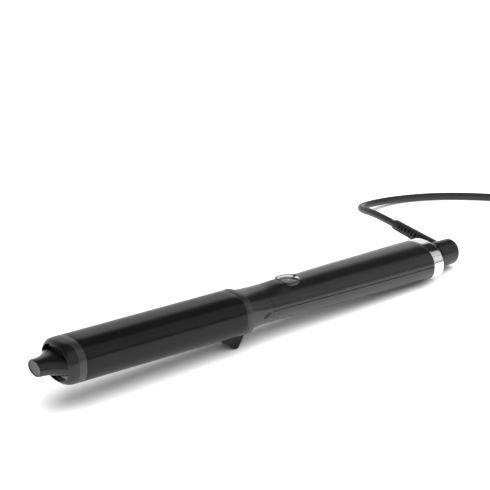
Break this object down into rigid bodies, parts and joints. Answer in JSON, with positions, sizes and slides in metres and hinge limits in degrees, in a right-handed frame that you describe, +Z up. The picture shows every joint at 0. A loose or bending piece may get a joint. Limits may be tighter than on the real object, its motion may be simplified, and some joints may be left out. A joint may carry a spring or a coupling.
{
  "type": "curling wand",
  "caption": "Clipless curling wand with an oval barrel, cool tip, stand foot, push button, and a swivel lead that ends in a two-pin plug.",
  "frame": {"origin": "middle of the wand's footprint on the table, without its lead", "axes": "+X from the tip to the swivel, along the table, +Y to the side where the lead leaves, +Z up through the power button"},
  "size_m": [0.5125, 0.1753, 0.0469],
  "materials": {
    "tip_plastic": "satin moulded high-temperature plastic",
    "band_satin": "satin black",
    "barrel_ceramic": "gloss black ceramic coat",
    "foot_plastic": "matt black",
    "handle_plastic": "soft gloss black",
    "chrome": "polished",
    "button_gloss": "gloss black",
    "light_lens": "frosted",
    "swivel_plastic": "satin black",
    "relief_rubber": "matt black",
    "cord_rubber": "matt black",
    "tie": "matt black",
    "plug_plastic": "matt black moulded",
    "pin_nickel": "nickel plated",
    "pin_sleeve": "matt black",
    "aluminium": "as extruded",
    "ceramic": "white ceramic",
    "insulator": "amber film",
    "steel": "plain",
    "inner_plastic": "moulded",
    "board": "solder mask",
    "component": "moulded",
    "contact_brass": "plain",
    "wire": "insulated"
  },
  "bodies": {
    "lead": {"swivel_cap": "swivel_plastic", "swivel_shaft": "inner_plastic", "contact_ring_live": "contact_brass", "contact_ring_neutral": "contact_brass", "retaining_clip": "steel", "strain_relief": "relief_rubber", "cord_lead": "cord_rubber", "cord_coil": "cord_rubber", "cord_tail": "cord_rubber", "coil_tie": "tie", "plug_body": "plug_plastic", "plug_relief": "plug_plastic", "plug_pins": "pin_nickel", "pin_sleeves": "pin_sleeve"},
    "wand": {"cool_tip": "tip_plastic", "tip_cap": "tip_plastic", "tip_insulator": "ceramic", "front_band": "band_satin", "barrel": "barrel_ceramic", "heat_spreader_upper": "aluminium", "heat_spreader_lower": "aluminium", "ceramic_heater": "ceramic", "heater_insulation": "insulator", "temperature_sensor": "steel", "thermal_fuse": "steel", "barrel_carrier": "inner_plastic", "collar_ring": "band_satin", "stand_foot": "foot_plastic", "neck_shell": "handle_plastic", "handle_upper_shell": "handle_plastic", "handle_lower_shell": "handle_plastic", "handle_screws": "steel", "button_bezel": "chrome", "control_board": "board", "tact_switch": "component", "processor": "component", "triac": "component", "smoothing_capacitor": "component", "suppression_capacitor": "component", "sounder": "component", "heater_wires": "wire", "supply_wires": "wire", "brush_holder": "inner_plastic", "contact_springs": "contact_brass", "chrome_ring": "chrome", "end_cap": "swivel_plastic"},
    "button": {"power_button": "button_gloss", "button_light": "light_lens", "switch_plunger": "inner_plastic"}
  },
  "joints": [
    {"name": "swivel", "type": "hinge", "parent": "lead", "child": "wand", "pos_m": [0.15948, 0, 0.01329], "axis": [0.9982, 0, -0.0602], "continuous": true},
    {"name": "button_press", "type": "slide", "parent": "wand", "child": "button", "axis": [-0.0602, 0, -0.9982], "range_m": [0, 0.0008], "stiffness_N_per_m": 900}
  ]
}
